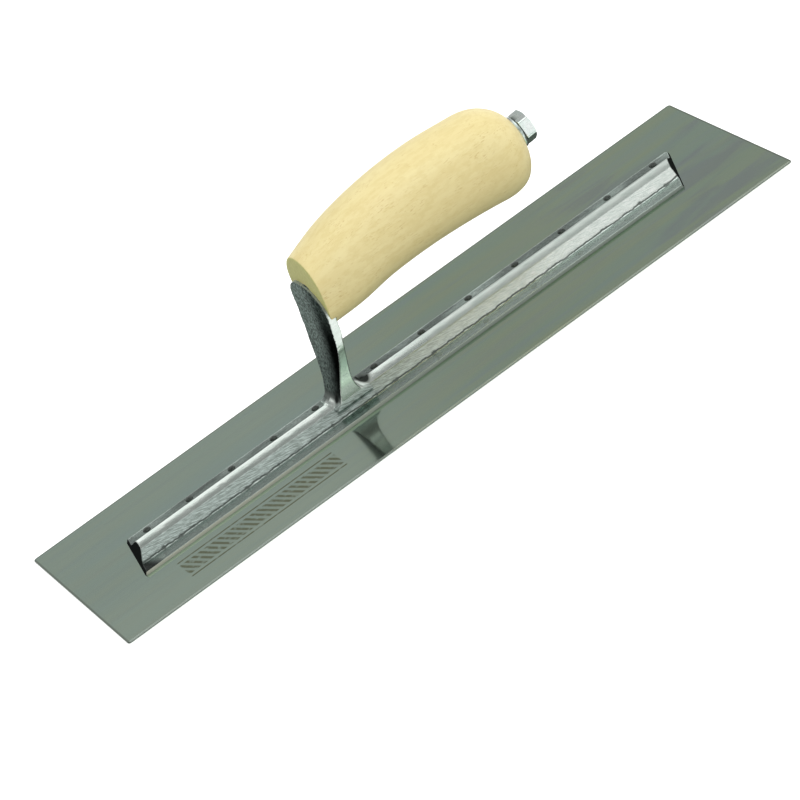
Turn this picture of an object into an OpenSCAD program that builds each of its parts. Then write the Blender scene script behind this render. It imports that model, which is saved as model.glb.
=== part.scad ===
// Finishing trowel: thin steel blade riveted to a one-piece cast mounting,
// whose shank carries a shaped hardwood handle held by one long hex screw.
// Millimetres. Origin: centre of the blade's working (lower) face, Z up.
// +X runs along the blade from the shank end of the handle to its screw end;
// "front" is towards -X and "rear" towards +X.

/* [Blade] */
// Length of the blade (14 in)
blade_l = 355.6; // [340:0.1:406.4]
// Width of the blade (4 in)
blade_w = 101.6; // [90:0.1:127]
// Thickness of the blade sheet
blade_t = 0.7; // [0.5:0.05:1]
// Corner radius of the blade
blade_corner_r = 1.5; // [0.5:0.1:5]

/* [Mounting spar] */
// Half width over the two flanges
spar_half_w = 15.9; // [15:0.1:18]
// Thickness of the flanges
flange_t = 1.6; // [1.2:0.1:2.5]
// Half width of the rib where it leaves the flanges
rib_base_half = 8.8; // [8:0.1:10]
// Half width of the rib at its shoulders
rib_top_half = 4.2; // [3:0.1:5]
// Height of the rib's +Y shoulder above the blade
rib_shoulder_z = 5.1; // [4:0.1:6]
// Crown of the rib top above that shoulder
rib_crown = 0.7; // [0.3:0.1:1]
// How far the crown's highest line lies towards -Y
crown_shift = 2; // [0:0.1:3]
// X of the front end of the spar on the centre line
spar_end_a = -148.1; // [-149:0.05:-145]
// Skew of that end in plan, in degrees
spar_skew_a = 10.5; // [0:0.1:12]
// Lean of that end from upright, in degrees
spar_lean_a = 34; // [0:1:40]
// X of the rear end of the spar on the centre line
spar_end_b = 147.9; // [146:0.1:150]
// Skew of that end in plan, in degrees
spar_skew_b = 21.8; // [0:0.1:23]
// Lean of that end from upright, in degrees
spar_lean_b = 19; // [0:1:40]

/* [Shank] */
// Half width of the shank head
head_half_w = 14.4; // [14:0.1:15]
// Height of the head's widest line above the blade
head_mid_z = 50.7; // [49:0.1:52]
// Rise of the arched head above its widest line
head_rise = 9.8; // [9.5:0.1:10.6]
// Slope of the arch across the head, higher on the +Y side
head_roll = 0.17; // [0:0.01:0.2]
// Skew of the shank about the upright, in degrees
shank_skew = 2.1; // [0:0.1:3]
// Diameter of the boss that locates the handle
boss_d = 14; // [13:0.5:15]
// Length of that boss behind the head
boss_l = 12; // [10:0.5:14]

/* [Handle] */
// Squareness of the handle's sections (2 is an ellipse)
section_n = 2.15; // [2:0.05:2.6]
// Lean of the front end face in degrees
front_tilt = 4; // [0:0.5:6]
// X of the handle's rearmost point
handle_rear_x = 88.2; // [87:0.1:90]
// Length of the domed rear end
dome_l = 22; // [18:1:26]
// Roundness exponent of the domed rear end
dome_n = 2.48; // [2.2:0.02:3]
// Clearance hole for the screw
screw_hole_d = 8.8; // [8.4:0.1:9.5]

/* [Screw and washer] */
// Nominal diameter of the handle screw
screw_d = 8; // [7.9:0.1:8]
// Length of the screw under its head
screw_l = 110; // [108:1:112]
// Across flats of the hex head
hex_af = 13.5; // [13:0.1:13.6]
// Height of the hex head
hex_h = 5.8; // [5.3:0.1:6]
// Slope of the screw in degrees, rising towards the head
screw_slope = 4; // [3:0.5:4.5]
// Washer outside diameter
washer_od = 15.6; // [15.6:0.1:16]
// Washer thickness
washer_t = 1.6; // [1.2:0.1:2]

/* [Rivets] */
// Rivet shank diameter
rivet_d = 3; // [2.6:0.1:3.2]
// How far the -Y rivet row is shifted towards -X
rivet_stagger = 5; // [0:0.5:6]
// Distance of each rivet row from the centre line
rivet_row_y = 12.6; // [12:0.1:13]
// Rivets each side in front of the shank
rivets_front = 5; // [5:1:5]
// Rivets each side behind the shank
rivets_back = 7; // [7:1:7]

/* [Hidden] */
$fn = 64;
eps = 0.01; // overlap that keeps cuts clean
gap = 0.1;  // clearance between fitted pieces

// centre of the screw head's outer face
tip_x = 94.7;
tip_z = 62.5 + blade_t;

// ---------- helpers ----------
function signed_pow(v, exponent) = sign(v) * pow(abs(v), exponent);
function clamp(v, low, high) = min(max(v, low), high);
function backwards(list) = [for (i = [len(list) - 1:-1:0]) list[i]];

// Catmull-Rom through evenly spaced keys, u in 0..len-1; a key may be a vector.
// Beyond either end the keys carry on in a straight line.
function key(keys, i) = let (last = len(keys) - 1)
    i < 0 ? 2 * keys[0] - keys[1]
    : i > last ? 2 * keys[last] - keys[last - 1]
    : keys[i];
function catmull_rom(p0, p1, p2, p3, f) = 0.5 * (2 * p1 + (p2 - p0) * f
    + (2 * p0 - 5 * p1 + 4 * p2 - p3) * f * f
    + (3 * p1 - p0 - 3 * p2 + p3) * f * f * f);
function spline(keys, u) = let (i = clamp(floor(u), 0, len(keys) - 2))
    catmull_rom(key(keys, i - 1), key(keys, i), key(keys, i + 1), key(keys, i + 2), u - i);

// screw frame: Z runs outwards along the screw, 0 at the head's outer face
module screw_frame() {
    translate([tip_x, 0, tip_z]) rotate([0, 90 - screw_slope, 0]) children();
}

// distance along the screw axis from the head's outer face to an x
function screw_depth(x) = (tip_x - x) / cos(screw_slope);

// ---------- rivet places ----------
front_first_x = -135.3;
front_pitch = 22.6;
back_first_x = -12.9;
back_pitch = 26.05;
rivet_xs = concat(
    [for (i = [0:rivets_front - 1]) front_first_x + i * front_pitch],
    [for (i = [0:rivets_back - 1]) back_first_x + i * back_pitch]);

// side is 1 for the +Y row, -1 for the -Y row
module at_row(side) {
    for (x = rivet_xs)
        translate([x - (side < 0 ? rivet_stagger : 0), side * rivet_row_y, 0]) children();
}

module at_rivets() {
    at_row(1) children();
    at_row(-1) children();
}

// ---------- blade ----------
countersink_extra_d = 1.2;
countersink_h = 0.45;

module rounded_plate(length, width, r) {
    square([length - 2 * r, width], center = true);
    square([length, width - 2 * r], center = true);
    for (sx = [-1, 1], sy = [-1, 1])
        translate([sx * (length / 2 - r), sy * (width / 2 - r)]) circle(r);
}

module blade() {
    hole_d = rivet_d + 2 * gap;
    color([0.55, 0.58, 0.55])
    difference() {
        linear_extrude(blade_t) rounded_plate(blade_l, blade_w, blade_corner_r);
        at_rivets() {
            translate([0, 0, -eps]) cylinder(d = hole_d, h = blade_t + 2 * eps);
            // countersink on the working face
            translate([0, 0, -eps])
                cylinder(d1 = hole_d + countersink_extra_d, d2 = hole_d, h = countersink_h);
        }
    }
}

// ---------- mounting: spar ----------
flange_chamfer = 0.4;
// slanted foot of the rib on each flange
rib_foot_w = 0.9;
rib_foot_h = 0.45;
crown_steps = 7; // on each half of the rib top
spar_stock_l = 340;
cutter = 60;
// how far past each end's centre point its 45-degree corner cut meets the spar's side
corner_cut_a = 2.2;
corner_cut_b = 4.1;

// the spar's cross-section, [y, z above the blade]
function crown_z(y) = rib_shoulder_z
    + rib_crown * (1 - pow((y + crown_shift) / (rib_top_half + crown_shift), 2));
function flange_side(side) = [
    [side * spar_half_w, 0],
    [side * spar_half_w, flange_t - flange_chamfer],
    [side * (spar_half_w - flange_chamfer), flange_t],
    [side * (rib_base_half + rib_foot_w), flange_t],
    [side * rib_base_half, flange_t + rib_foot_h]];
function spar_section() = concat(
    flange_side(1),
    [for (i = [0:2 * crown_steps]) let (y = rib_top_half * (1 - i / crown_steps))
        [y, crown_z(y)]],
    backwards(flange_side(-1)));

// everything beyond an end plane at x (measured on the blade), skewed in plan
// and leaning back over the spar; dir is -1 or +1
module beyond(x, skew, lean, dir) {
    translate([x, 0, blade_t]) rotate([0, 0, -skew]) rotate([0, -dir * lean, 0])
        translate([dir < 0 ? -cutter : 0, -cutter, -20]) cube([cutter, 2 * cutter, cutter]);
}

module spar() {
    difference() {
        translate([-spar_stock_l / 2, 0, blade_t]) rotate([90, 0, 90])
            linear_extrude(spar_stock_l) polygon(spar_section());
        beyond(spar_end_a, spar_skew_a, spar_lean_a, -1);
        beyond(spar_end_b, spar_skew_b, spar_lean_b, 1);
        // the sharp corner of each end taken off
        beyond(spar_end_a - spar_half_w - corner_cut_a, -45, 0, -1);
        beyond(spar_end_b + spar_half_w + corner_cut_b, -45, 0, 1);
    }
}

// ---------- mounting: shank ----------
// side view: rows [z above the blade, x of front face, x of rear face]
shank_side = [
    [61.7, -27.2, -23.1], [56, -27.9, -23.78], [50, -28.6, -24.47], [45, -29.2, -25.05],
    [40.9, -29.8, -25.5], [36.3, -30.4, -26.45], [30.7, -31.6, -27.6], [24.6, -33.05, -28.4],
    [19.3, -34.5, -28.8], [14.6, -36, -28.9], [11.4, -37.2, -28.5], [9.2, -38.1, -27.6],
    [7.8, -38.9, -26.3], [6.8, -39.9, -24.9], [6.0, -41.4, -23.2], [5.0, -41.7, -22.8]];
// front view: rows [z above the blade, half width] below the arched head
shank_front = [
    [45, 14], [40, 13.85], [36.6, 13.75], [31.5, 13.1], [26.4, 11.7], [21, 9.8],
    [16.1, 8.2], [12, 7.5], [9, 7.3], [6, 7.6], [4, 8.3], [2.8, 9.3], [2.0, 10.5],
    [1.5, 11.4], [1.2, 11.6]];
shank_stock = 60; // length of both shank extrusions
shank_pivot_x = -28;
arch_n = 2.2; // squareness of the arch (2 is an ellipse)
arch_steps = 12;

boss_root_x = -26;
boss_end_x = -24 + boss_l;
tap_floor_x = -24.6;
tap_l = 30;

// arched top of the head on one side (1 or -1), from the centre outwards
function head_arch(side, grow) = [for (i = [0:arch_steps]) let (
        a = 90 - i * 90 / arch_steps,
        y = side * (head_half_w + grow) * signed_pow(cos(a), 2 / arch_n))
    [y, head_mid_z + (head_rise + grow) * signed_pow(sin(a), 2 / arch_n) + head_roll * y]];
function shank_half(side, grow) = concat(
    head_arch(side, grow),
    [for (row = shank_front) [side * (row[1] + grow), row[0]]]);

// front view of the shank, extruded along X; grow widens the outline
module shank_front_solid(grow = 0) {
    left = shank_half(-1, grow);
    // the two halves share their first point
    left_rest = [for (i = [1:len(left) - 1]) left[i]];
    translate([-shank_stock, 0, blade_t]) rotate([90, 0, 90]) linear_extrude(shank_stock)
        polygon(concat(shank_half(1, grow), backwards(left_rest)));
}

// the shank is turned slightly about its -Y edge
module shank_turned() {
    translate([shank_pivot_x, -head_half_w, 0]) rotate([0, 0, shank_skew])
        translate([-shank_pivot_x, head_half_w, 0]) children();
}

module shank_side_solid() {
    shank_turned() translate([0, shank_stock / 2, blade_t]) rotate([90, 0, 0])
        linear_extrude(shank_stock) polygon(concat(
            [for (row = shank_side) [row[1], row[0]]],
            backwards([for (row = shank_side) [row[2], row[0]]])));
}

module mounting() {
    color([0.62, 0.66, 0.64])
    difference() {
        union() {
            spar();
            intersection() {
                shank_front_solid();
                shank_side_solid();
            }
            screw_frame() translate([0, 0, -screw_depth(boss_root_x)])
                cylinder(d = boss_d, h = screw_depth(boss_root_x) - screw_depth(boss_end_x));
        }
        at_rivets() translate([0, 0, blade_t - eps])
            cylinder(d = rivet_d + 2 * gap, h = flange_t + 2 * eps);
        // blind tapped hole for the handle screw
        screw_frame() translate([0, 0, -screw_depth(tap_floor_x)])
            cylinder(d = screw_d + 2 * gap, h = tap_l);
    }
}

// ---------- rivets ----------
rivet_foot_spread = 0.55;
rivet_foot_h = 0.42;
// rim of a rivet head: [radius beyond the shank's, height above the flange]
rivet_head = [[0, 0.02], [0.45, 0.02], [0.42, 0.2], [0.1, 0.42], [-0.6, 0.58]];
rivet_head_h = 0.65;

// countersunk foot flush with the working face; headed or dressed flush on top
module rivet(headed) {
    r = rivet_d / 2;
    top = blade_t + flange_t;
    rotate_extrude() polygon(concat(
        [[0, 0], [r + rivet_foot_spread, 0], [r, rivet_foot_h]],
        [for (p = headed ? rivet_head : [[0, 0]]) [r + p[0], top + p[1]]],
        [[0, top + (headed ? rivet_head_h : 0)]]));
}

module rivets() {
    color([0.4, 0.42, 0.4]) {
        at_row(1) rivet(true);
        at_row(-1) rivet(false);
    }
}

// ---------- handle ----------
handle_x0 = -26.6;
station_pitch = 18;
// stations evenly spaced along X from handle_x0, z above the blade:
// [z of top line, z of bottom line, z of widest line, half width]
stations = [
    [74.3, 41.8, 60.0, 16.0],
    [79.7, 41.5, 61.4, 18.3],
    [83.6, 43.3, 63.5, 18.7],
    [85.7, 43.7, 64.7, 19.0],
    [86.0, 42.9, 64.4, 19.4],
    [84.5, 41.1, 62.8, 19.7],
    [82.5, 38.4, 60.4, 20.3]];
rings = 34;
around = 40;
ring_crowding = 1.6; // above 1 packs the rings closer towards the rear
dome_floor = 0.0004; // keeps the last ring from shrinking to a point
tilt_fade_l = 40;    // length over which the front end's lean dies out

// changes of section near the front end, and the lengths they fade over
lower_fade_l = 34;
side_fade_l = 26;
lower_extra_n = 1.1; // squarer below the widest line
upper_less_n = 0.3;  // less square on the upper +Y side
side_slimming = 0.07; // share of the half width lost on the +Y side

// the rear face of the recess for the shank head
recess_x = shank_side[0][2] + gap;
recess_z = 61.9;
recess_lean = atan(2.4 / 21);

bore_reach = 150; // depth at which the bores from the front start
seat_extra_d = 1.2;

function ring_x(i) = handle_x0
    + (handle_rear_x - handle_x0) * (1 - pow(1 - i / rings, ring_crowding));
// scale of the section at x, falling off over the domed rear end
function dome(x) = let (k = clamp((x - handle_rear_x + dome_l) / dome_l, 0, 1))
    pow(max(1 - pow(k, dome_n), dome_floor), 1 / dome_n);
// 1 at the front end, 0 at the given length behind it
function front_fade(x, length) = clamp(1 - (x - handle_x0) / length, 0, 1);
function front_share(x, length) = pow(front_fade(x, length), 2);
function ring_n(x, across, up) = section_n
    + (up < 0 ? lower_extra_n * front_share(x, lower_fade_l)
    : across > 0 ? -upper_less_n * front_share(x, side_fade_l) : 0);

function ring(i) = let (
        x = ring_x(i),
        size = spline(stations, clamp((x - handle_x0) / station_pitch, 0, len(stations) - 1)),
        mid = size[2],
        shrink = dome(x),
        rise = (size[0] - mid) * shrink,
        drop = (mid - size[1]) * shrink,
        half_w = size[3] * shrink,
        lean = tan(front_tilt) * front_fade(x, tilt_fade_l))
    [for (j = [0:around - 1]) let (
            a = 360 * j / around,
            e = 2 / ring_n(x, cos(a), sin(a)),
            across = signed_pow(cos(a), e),
            up = signed_pow(sin(a), e),
            dz = (up > 0 ? rise : drop) * up,
            slim = 1 - (across > 0 ? side_slimming * front_share(x, side_fade_l) : 0))
        [x + lean * dz, half_w * slim * across, blade_t + mid + dz]];

module handle_form() {
    points = [for (i = [0:rings]) each ring(i)];
    walls = [for (i = [0:rings - 1], j = [0:around - 1]) let (
            a = i * around + j,
            b = i * around + (j + 1) % around,
            c = a + around,
            d = b + around)
        each [[a, b, d], [a, d, c]]];
    front_cap = [for (j = [around - 1:-1:0]) j];
    rear_cap = [for (j = [0:around - 1]) rings * around + j];
    polyhedron(points = points, faces = concat(walls, [front_cap], [rear_cap]));
}

module handle() {
    color([0.93, 0.85, 0.6])
    difference() {
        handle_form();
        // clearance hole for the screw, right through
        screw_frame() translate([0, 0, -bore_reach])
            cylinder(d = screw_hole_d, h = bore_reach + 20);
        // socket for the boss
        screw_frame() translate([0, 0, -bore_reach])
            cylinder(d = boss_d + 4 * gap, h = bore_reach - screw_depth(boss_end_x) + 2 * gap);
        // spot-faced seat that the washer is let into
        screw_frame() translate([0, 0, -hex_h - washer_t])
            cylinder(d = washer_od + seat_extra_d, h = 20);
        // recess that takes the shank head
        intersection() {
            shank_front_solid(gap);
            shank_turned() translate([recess_x, 0, blade_t + recess_z])
                rotate([0, recess_lean, 0]) translate([-20, -30, -40]) cube([20, 60, 60]);
        }
    }
}

// ---------- washer and screw ----------
washer_play = 0.4; // washer hole over the screw diameter

module washer() {
    color([0.8, 0.82, 0.82])
    screw_frame() translate([0, 0, -hex_h - washer_t]) difference() {
        cylinder(d = washer_od, h = washer_t);
        translate([0, 0, -eps]) cylinder(d = screw_d + washer_play, h = washer_t + 2 * eps);
    }
}

thread_l = 22;
pitch = 1.25;
turns = 16;
screw_r = screw_d / 2;
root_r = screw_r - 0.62;
crest_r = screw_r - 0.02;
hex_turn = 43;
hex_chamfer_h = 0.9;
washer_face_h = 0.35;

// [radius, z] of the thread's rings, going down from z = start
function thread_profile(start) = [for (i = [0:turns - 1]) let (z = start - i * pitch) each [
    [crest_r, z], [crest_r, z - 0.2], [root_r, z - 0.6], [root_r, z - 0.8]]];

module handle_bolt() {
    hex_d = hex_af / cos(30);
    trim_r = hex_d / 2 + 0.2;
    plain_end = -(screw_l - thread_l);
    color([0.78, 0.8, 0.8])
    screw_frame() {
        // hex head, chamfered at its outer corners, with a washer face below
        intersection() {
            translate([0, 0, -hex_h + washer_face_h]) rotate(hex_turn)
                cylinder(d = hex_d, h = hex_h - washer_face_h, $fn = 6);
            rotate_extrude() polygon([[0, -hex_h], [trim_r, -hex_h],
                [trim_r, -hex_chamfer_h], [hex_af / 2 * 0.96, 0], [0, 0]]);
        }
        translate([0, 0, -hex_h]) cylinder(d = hex_af * 0.93, h = washer_face_h + eps);
        // plain shank, then the threaded length as rings
        translate([0, 0, -hex_h]) rotate_extrude() polygon(concat(
            [[0, 0.1], [screw_r, 0.1], [screw_r, plain_end], [root_r, plain_end - 0.4]],
            thread_profile(plain_end - 1),
            [[root_r, -screw_l + 0.6], [screw_r - 1.1, -screw_l], [0, -screw_l]]));
    }
}

blade();
mounting();
rivets();
handle();
washer();
handle_bolt();
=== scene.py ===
# A flat-bladed hand tool. The blade is a thin sheet, long along X and wide along Y, with its
# underside at z = 0. A cast spar is riveted along its middle; the casting's shank rises near
# x = -28 and carries a wooden handle, held by a hex screw that enters at the +X end.
# Shapes are in millimetres and become metres in solid(); heights named *_Z are above the
# blade's top.
import math
from contextlib import contextmanager
from itertools import product

import bmesh
import bpy
import numpy as np
from mathutils import Matrix, Vector


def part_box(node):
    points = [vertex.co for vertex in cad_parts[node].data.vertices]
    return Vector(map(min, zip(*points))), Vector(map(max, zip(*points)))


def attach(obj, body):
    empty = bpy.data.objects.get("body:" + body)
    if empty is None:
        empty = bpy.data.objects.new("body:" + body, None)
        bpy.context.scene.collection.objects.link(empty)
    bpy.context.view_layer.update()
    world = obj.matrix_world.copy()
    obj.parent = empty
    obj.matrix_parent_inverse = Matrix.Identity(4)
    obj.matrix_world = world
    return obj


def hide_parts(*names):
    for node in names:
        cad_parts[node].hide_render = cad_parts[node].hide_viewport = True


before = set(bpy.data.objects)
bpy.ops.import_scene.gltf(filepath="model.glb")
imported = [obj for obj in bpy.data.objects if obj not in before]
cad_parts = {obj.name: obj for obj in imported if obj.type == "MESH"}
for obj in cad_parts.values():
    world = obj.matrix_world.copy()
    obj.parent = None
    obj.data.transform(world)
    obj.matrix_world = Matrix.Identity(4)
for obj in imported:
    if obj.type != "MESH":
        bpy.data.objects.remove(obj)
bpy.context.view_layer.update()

MM = 0.001
INF = math.inf
scene = bpy.context.scene
scene.view_settings.view_transform = "Standard"
scene.view_settings.look = "None"

# ---------------------------------------------------------------- sizes (mm, degrees)
blade_low, blade_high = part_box("blade")
BLADE_L, BLADE_W, BLADE_T = (
    (getattr(blade_high, axis) - getattr(blade_low, axis)) / MM for axis in "xyz")
CORNER_R = 1.5
EDGE_R = 0.22                # dressed edge of the sheet

# spar: flanges with a rib along the middle
SPAR_HALF, FLANGE_T = 15.9, 1.6
RIB_BASE, RIB_TOP = 8.8, 4.2             # half widths
RIB_Z, CROWN, CROWN_SHIFT = 5.1, 0.7, 2.0
# its ends: x at the middle, direction, skew and lean of the face, place of the corner cut
SPAR_ENDS = [(-148.1, -1, 10.5, 34.0, 2.2), (147.9, 1, 21.8, 19.0, 4.1)]

# shank: its head is a rolled superellipse, seen along X
HEAD_HALF, HEAD_MID, HEAD_RISE, HEAD_ROLL, HEAD_POWER = 14.4, 50.7, 9.8, 0.17, 2.2
SHANK_X, SHANK_SKEW = -28, 2.1
SHANK_SLOPE = math.tan(math.radians(SHANK_SKEW))

# side view of the shank: z, x of the -X face, x of the +X face
SHANK_SIDE = [
    (61.7, -27.2, -23.1), (56, -27.9, -23.78), (50, -28.6, -24.47), (45, -29.2, -25.05),
    (40.9, -29.8, -25.5), (36.3, -30.4, -26.45), (30.7, -31.6, -27.6), (24.6, -33.05, -28.4),
    (19.3, -34.5, -28.8), (14.6, -36, -28.9), (11.4, -37.2, -28.5), (9.2, -38.1, -27.6),
    (7.8, -38.9, -26.3), (6.8, -39.9, -24.9), (6.0, -41.4, -23.2), (4.9, -41.9, -22.6)]
# end view of the shank below its head: z, half width
SHANK_FRONT = [
    (45, 14), (40, 13.85), (36.6, 13.75), (31.5, 13.1), (26.4, 11.7), (21, 9.8), (16.1, 8.2),
    (12, 7.5), (9, 7.3), (6, 7.6), (4, 8.3), (2.8, 9.3), (2.0, 10.5), (1.3, 11.5)]

# screw: the tip is the middle of the head's outer face
TIP_X, TIP_Z, SLOPE = 94.7, 62.5, 4.0
HEX_AF, HEX_H, SCREW_D, SCREW_L = 13.5, 5.8, 8.0, 110.0
THREAD_L, THREAD_PITCH, THREAD_TURNS = 22, 1.25, 16
WASHER_OD, WASHER_T, SEAT_D = 15.6, 1.6, 16.8
SEAT = -HEX_H - WASHER_T                 # washer's inner face, along the screw
BOSS_D, BOSS_ROOT_X, BOSS_TIP_X, BOSS_HOLE_X = 14.0, -26, -24 + 12.0, -24.6

RIVET_D, ROW_Y, STAGGER = 3.0, 12.6, 5.0
RIVET_XS = [-135.3 + i * 22.6 for i in range(5)] + [-12.9 + i * 26.05 for i in range(7)]

# handle: superelliptic sections ending in a dome at +X
HANDLE_X0, HANDLE_X1, DOME_L, DOME_POWER = -26.6, 88.2, 22.0, 2.48
SECTION_POWER, TILT, END_R = 2.15, 4.0, 0.55
HANDLE_SEGMENTS, HANDLE_RINGS = 144, 170
STATION_PITCH = 18.0
# stations along X: top, bottom and middle heights, half width
HANDLE_STATIONS = np.array([
    (74.3, 41.8, 60.0, 16.0), (79.7, 41.5, 61.4, 18.3), (83.6, 43.3, 63.5, 18.7),
    (85.7, 43.7, 64.7, 19.0), (86.0, 42.9, 64.4, 19.4), (84.5, 41.1, 62.8, 19.7),
    (82.5, 38.4, 60.4, 20.3)])


# ---------------------------------------------------------------- mesh helpers
@contextmanager
def editing(ob):
    """Opens an object's mesh as a bmesh and writes it back."""
    bm = bmesh.new()
    bm.from_mesh(ob.data)
    yield bm
    bm.to_mesh(ob.data)
    bm.free()
    ob.data.update()


def link_object(name, mesh):
    ob = bpy.data.objects.new(name, mesh)
    scene.collection.objects.link(ob)
    return ob


def solid(name, verts, faces, matrix=None):
    """A closed mesh object from vertices in mm, with its normals outwards."""
    mesh = bpy.data.meshes.new(name)
    mesh.from_pydata([tuple(float(c) * MM for c in v) for v in verts], [], faces)
    mesh.update()
    ob = link_object(name, mesh)
    if matrix is not None:
        mesh.transform(matrix)
    with editing(ob) as bm:
        bmesh.ops.remove_doubles(bm, verts=bm.verts, dist=1e-7)
        bmesh.ops.recalc_face_normals(bm, faces=bm.faces)
    return ob


def smooth_by_angle(ob, degrees):
    limit = math.radians(degrees)
    with editing(ob) as bm:
        for face in bm.faces:
            face.smooth = True
        for edge in bm.edges:
            sharp = len(edge.link_faces) == 2 and edge.calc_face_angle(0.0) > limit
            edge.smooth = not sharp


def apply_modifiers(ob):
    bpy.context.view_layer.update()
    graph = bpy.context.evaluated_depsgraph_get()
    mesh = bpy.data.meshes.new_from_object(ob.evaluated_get(graph), depsgraph=graph)
    old = ob.data
    ob.modifiers.clear()
    ob.data = mesh
    bpy.data.meshes.remove(old)


def boolean(ob, tool, operation="DIFFERENCE"):
    """Combines ob with a tool object and removes the tool."""
    modifier = ob.modifiers.new("boolean", "BOOLEAN")
    modifier.operation = operation
    modifier.solver = "EXACT"
    modifier.object = tool
    apply_modifiers(ob)
    bpy.data.objects.remove(tool)


def cut_plane(ob, point, normal):
    """Removes what lies on the normal's side of a plane, and closes the cut."""
    with editing(ob) as bm:
        cut = bmesh.ops.bisect_plane(bm, geom=bm.verts[:] + bm.edges[:] + bm.faces[:],
                                     plane_co=Vector(point) * MM, plane_no=Vector(normal),
                                     clear_outer=True)
        edges = [g for g in cut["geom_cut"] if isinstance(g, bmesh.types.BMEdge)]
        if edges:
            bmesh.ops.holes_fill(bm, edges=edges, sides=0)
        bmesh.ops.recalc_face_normals(bm, faces=bm.faces)


def ring(radii, z):
    """Points round the Z axis, one for each radius."""
    n = len(radii)
    return [(r * math.cos(2 * math.pi * k / n), r * math.sin(2 * math.pi * k / n), z)
            for k, r in enumerate(radii)]


def ring_quads(count, n):
    """Quads between successive rings of n vertices."""
    return [[i * n + j, i * n + (j + 1) % n, (i + 1) * n + (j + 1) % n, (i + 1) * n + j]
            for i in range(count - 1) for j in range(n)]


def loft(name, rings, matrix=None):
    """Skin over equal rings, capped at both ends."""
    n, count = len(rings[0]), len(rings)
    caps = [list(range(n)), list(range((count - 1) * n, count * n))]
    return solid(name, sum(rings, []), ring_quads(count, n) + caps, matrix)


def prism(name, outline, place):
    """Closed prism of a 2-D outline; place maps (u, v, end) to a point, end is 0 or 1."""
    n = len(outline)
    verts = [place(u, v, end) for end in (0, 1) for u, v in outline]
    caps = [list(range(n)), list(range(2 * n - 1, n - 1, -1))]
    return solid(name, verts, caps + ring_quads(2, n))


def lathe(name, profile, n, matrix=None):
    """Profile [(radius, height)] turned about Z; end points at radius 0 close it."""
    verts, rings = [], []
    for r, z in profile:
        points = [(0, 0, z)] if r < 1e-6 else ring([r] * n, z)
        rings.append(list(range(len(verts), len(verts) + len(points))))
        verts += points
    faces = []
    for a, b in zip(rings, rings[1:]):
        for k in range(n):
            m = (k + 1) % n
            if len(a) == 1:
                faces.append([a[0], b[k], b[m]])
            elif len(b) == 1:
                faces.append([a[k], b[0], a[m]])
            else:
                faces.append([a[k], b[k], b[m], a[m]])
    return solid(name, verts, faces, matrix)


def cylinder(name, radius, z0, z1, n, matrix):
    return lathe(name, [(0, z0), (radius, z0), (radius, z1), (0, z1)], n, matrix)


def join(name, parts):
    bm = bmesh.new()
    for part in parts:
        bm.from_mesh(part.data)
        bpy.data.objects.remove(part)
    mesh = bpy.data.meshes.new(name)
    bm.to_mesh(mesh)
    bm.free()
    return link_object(name, mesh)


def vertex_values(ob, field):
    values = np.zeros(len(ob.data.vertices) * 3)
    ob.data.vertices.foreach_get(field, values)
    return values.reshape(-1, 3)


def coords_and_normals(ob):
    """Vertex places in mm, and vertex normals."""
    return vertex_values(ob, "co") / MM, vertex_values(ob, "normal")


def set_attributes(ob, **named):
    for name, values in named.items():
        attribute = ob.data.attributes.new(name, "FLOAT", "POINT")
        attribute.data.foreach_set("value", np.asarray(values, np.float32))


# ---------------------------------------------------------------- curves, noise, frames
NOISE_TABLE = np.random.RandomState(7).rand(32, 32, 32)


def value_noise(points, size, seed):
    """Smooth value noise in -1..1; size is the feature size in mm, one for all axes or each."""
    points = points / size + seed * 7.31
    cell = np.floor(points).astype(int)
    f = points - cell
    f = f * f * (3 - 2 * f)
    total = 0
    for corner in product((0, 1), repeat=3):
        weight = np.prod(np.where(corner, f, 1 - f), axis=1)
        total = total + weight * NOISE_TABLE[tuple(((cell + corner) % 32).T)]
    return total * 2 - 1


def rise(value, low, high):
    """Smooth step from 0 at low to 1 at high."""
    t = np.clip((value - low) / (high - low), 0, 1)
    return t * t * (3 - 2 * t)


def fall(value, low, high):
    return 1 - rise(value, low, high)


def catmull_rom(rows, i, f):
    """Point a share f of the way from row i to the next."""
    p0 = rows[i - 1] if i else 2 * rows[0] - rows[1]
    p3 = rows[i + 2] if i + 2 < len(rows) else 2 * rows[-1] - rows[-2]
    p1, p2 = rows[i], rows[i + 1]
    return 0.5 * (2 * p1 + (p2 - p0) * f + (2 * p0 - 5 * p1 + 4 * p2 - p3) * f * f
                  + (3 * p1 - p0 - 3 * p2 + p3) * f ** 3)


def refined(table, steps=3):
    """A table's rows with smooth rows put between them."""
    rows = [np.array(row, float) for row in table]
    fine = [catmull_rom(rows, i, k / steps) for i in range(len(rows) - 1) for k in range(steps)]
    return fine + [rows[-1]]


def signed_power(value, power):
    return math.copysign(abs(value) ** power, value)


def moved(x, y, z):
    return Matrix.Translation(Vector((x, y, z)) * MM)


def screw_matrix(along=0.0):
    """Frame of the screw: Z outwards, 0 at the head's outer face."""
    return (moved(TIP_X, 0, TIP_Z + BLADE_T)
            @ Matrix.Rotation(math.radians(90 - SLOPE), 4, "Y") @ moved(0, 0, along))


def screw_z(x):
    """Height in the screw's frame of the point of its axis at x."""
    return -(TIP_X - x) / math.cos(math.radians(SLOPE))


def screw_coords(points):
    """Distance of points along the screw's axis from its tip, and out from the axis."""
    axis = np.array((math.cos(math.radians(SLOPE)), 0, -math.sin(math.radians(SLOPE))))
    offset = points - np.array([TIP_X, 0, TIP_Z + BLADE_T])
    along = offset @ axis
    return along, np.linalg.norm(offset - along[:, None] * axis, axis=1)


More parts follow.
